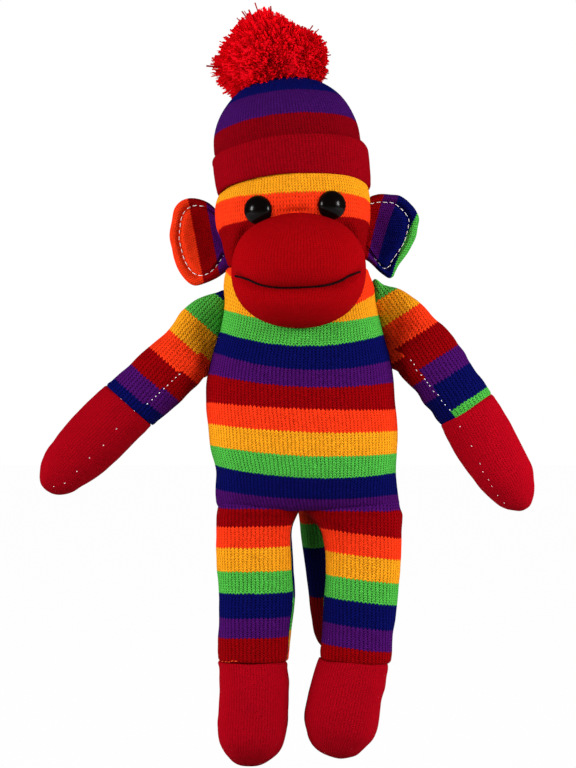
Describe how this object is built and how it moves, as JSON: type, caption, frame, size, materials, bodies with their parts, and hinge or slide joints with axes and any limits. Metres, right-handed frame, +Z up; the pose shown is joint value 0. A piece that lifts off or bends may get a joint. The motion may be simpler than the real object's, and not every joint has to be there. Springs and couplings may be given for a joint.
{
  "type": "stuffed sock monkey doll",
  "caption": "Soft jointed monkey doll made of striped socks, with a full muzzle, black button eyes, flat ears and a removable rolled-cuff beanie topped by a yarn pompom.",
  "frame": {"origin": "middle of the doll's waist, on the torso's axis at its fullest width, where a hand or a rod holds it up", "axes": "+Z up through the neck, -Y the way the doll looks, +X to the doll's own left"},
  "size_m": [0.2755, 0.1438, 0.4234],
  "materials": {
    "striped_sock_knit": "striped sock knit in orange, yellow, green, navy, purple and red, matt and slightly fuzzy",
    "red_sock_knit": "plain red sock knit, matt and slightly fuzzy",
    "hat_knit": "red sock knit with purple and navy stripes at the crown, matt",
    "pompom_yarn": "cut wool yarn, matt, fluffy",
    "mouth_thread": "dark sewing thread, matt",
    "eye_plastic": "polished black",
    "washer_plastic": "white, smooth"
  },
  "bodies": {
    "torso": {"torso": "striped_sock_knit"},
    "head": {"head": "striped_sock_knit", "muzzle": "red_sock_knit", "mouth_thread": "mouth_thread", "eye_left": "eye_plastic", "eye_washer_left": "washer_plastic", "eye_right": "eye_plastic", "eye_washer_right": "washer_plastic"},
    "ear_left": {"ear_left": "striped_sock_knit"},
    "ear_right": {"ear_right": "striped_sock_knit"},
    "hat": {"hat": "hat_knit", "pompom_tie": "pompom_yarn"},
    "pompom": {"pompom": "pompom_yarn"},
    "arm_left": {"arm_left": "striped_sock_knit"},
    "hand_left": {"hand_left": "red_sock_knit"},
    "arm_right": {"arm_right": "striped_sock_knit"},
    "hand_right": {"hand_right": "red_sock_knit"},
    "leg_left": {"leg_left": "striped_sock_knit"},
    "foot_left": {"foot_left": "red_sock_knit"},
    "leg_right": {"leg_right": "striped_sock_knit"},
    "foot_right": {"foot_right": "red_sock_knit"},
    "tail": {"tail": "striped_sock_knit"}
  },
  "joints": [
    {"name": "head_turn", "type": "hinge", "parent": "torso", "child": "head", "pos_m": [0, 0, 0.074], "axis": [0, 0, 1], "range_deg": [-30, 30], "stiffness_Nm_per_rad": 0.05},
    {"name": "ear_left_fold", "type": "hinge", "parent": "head", "child": "ear_left", "pos_m": [0.04088, 0.005, 0.09407], "axis": [0.0902, 0, 0.9959], "range_deg": [-30, 30], "stiffness_Nm_per_rad": 0.01},
    {"name": "ear_right_fold", "type": "hinge", "parent": "head", "child": "ear_right", "pos_m": [-0.04794, 0.005, 0.08629], "axis": [-0.4166, 0, 0.9091], "range_deg": [-30, 30], "stiffness_Nm_per_rad": 0.01},
    {"name": "hat_lift", "type": "slide", "parent": "head", "child": "hat", "axis": [-0.0942, 0.1822, 0.9787], "range_m": [0, 0.07]},
    {"name": "pompom_swivel", "type": "hinge", "parent": "hat", "child": "pompom", "pos_m": [-0.005, 0, 0.117], "axis": [-0.0942, 0.1822, 0.9787], "range_deg": [-90, 90], "stiffness_Nm_per_rad": 0.005},
    {"name": "arm_left_swing", "type": "hinge", "parent": "torso", "child": "arm_left", "pos_m": [0.0523, 0, 0.03609], "axis": [-0.2098, 0, 0.9777], "range_deg": [-65, 55], "stiffness_Nm_per_rad": 0.03},
    {"name": "arm_right_swing", "type": "hinge", "parent": "torso", "child": "arm_right", "pos_m": [-0.0523, 0, 0.03609], "axis": [0.2098, 0, 0.9777], "range_deg": [-55, 65], "stiffness_Nm_per_rad": 0.03},
    {"name": "hand_left_bend", "type": "hinge", "parent": "arm_left", "child": "hand_left", "pos_m": [0.09292, 0, -0.00476], "axis": [0.8425, 0, 0.5388], "range_deg": [-35, 35], "stiffness_Nm_per_rad": 0.02},
    {"name": "hand_right_bend", "type": "hinge", "parent": "arm_right", "child": "hand_right", "pos_m": [-0.09762, 0, -0.00124], "axis": [-0.7547, 0, 0.6561], "range_deg": [-35, 35], "stiffness_Nm_per_rad": 0.02},
    {"name": "leg_left_swing", "type": "hinge", "parent": "torso", "child": "leg_left", "pos_m": [0.0354, 0, -0.0795], "axis": [1, 0, 0], "range_deg": [-90, 25]},
    {"name": "leg_right_swing", "type": "hinge", "parent": "torso", "child": "leg_right", "pos_m": [-0.0254, 0, -0.0795], "axis": [1, 0, 0], "range_deg": [-90, 25]},
    {"name": "foot_left_bend", "type": "hinge", "parent": "leg_left", "child": "foot_left", "pos_m": [0.03184, 0, -0.1459], "axis": [0.9985, 0, -0.0541], "range_deg": [-35, 35], "stiffness_Nm_per_rad": 0.02},
    {"name": "foot_right_bend", "type": "hinge", "parent": "leg_right", "child": "foot_right", "pos_m": [-0.02598, 0, -0.146], "axis": [1, 0, -0.0087], "range_deg": [-35, 35], "stiffness_Nm_per_rad": 0.02},
    {"name": "tail_swing", "type": "hinge", "parent": "torso", "child": "tail", "pos_m": [0.005, 0.04423, -0.038], "axis": [1, 0, 0], "range_deg": [0, 85]}
  ]
}
